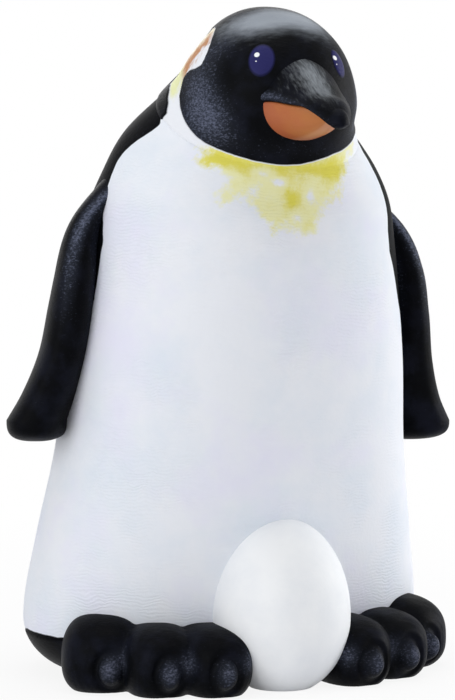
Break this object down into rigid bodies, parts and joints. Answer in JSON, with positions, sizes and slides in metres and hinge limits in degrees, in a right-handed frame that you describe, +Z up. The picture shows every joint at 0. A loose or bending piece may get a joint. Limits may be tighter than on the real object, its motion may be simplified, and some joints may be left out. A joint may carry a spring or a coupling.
{
  "type": "toy penguin figure",
  "caption": "Standing emperor penguin figure in carved, painted wood, with an egg held between its feet; stands on a flat base.",
  "frame": {"origin": "on the ground under the middle of the figure's box, between the two feet", "axes": "+Z up from the ground to the crown; the figure faces -Y and its tail points to +Y; its own right side is -X"},
  "size_m": [0.0768, 0.0736, 0.105],
  "materials": {
    "white_paint": "carved wood under white satin acrylic paint, black down the back",
    "black_paint": "carved wood under black satin acrylic paint",
    "orange_paint": "carved wood under orange satin acrylic paint",
    "egg_paint": "turned wood under off-white satin acrylic paint",
    "bare_beech": "unpainted dowel wood, hidden inside"
  },
  "bodies": {
    "root": {"trunk": "white_paint", "head": "black_paint", "upper_bill": "black_paint", "lower_bill": "orange_paint", "left_flipper": "black_paint", "right_flipper": "black_paint", "left_foot": "black_paint", "right_foot": "black_paint", "egg": "egg_paint", "tail": "black_paint", "neck_dowel": "bare_beech", "bill_dowel": "bare_beech", "left_flipper_dowel": "bare_beech", "right_flipper_dowel": "bare_beech", "left_foot_dowel": "bare_beech", "right_foot_dowel": "bare_beech", "egg_dowel": "bare_beech", "tail_dowel": "bare_beech"}
  },
  "joints": []
}
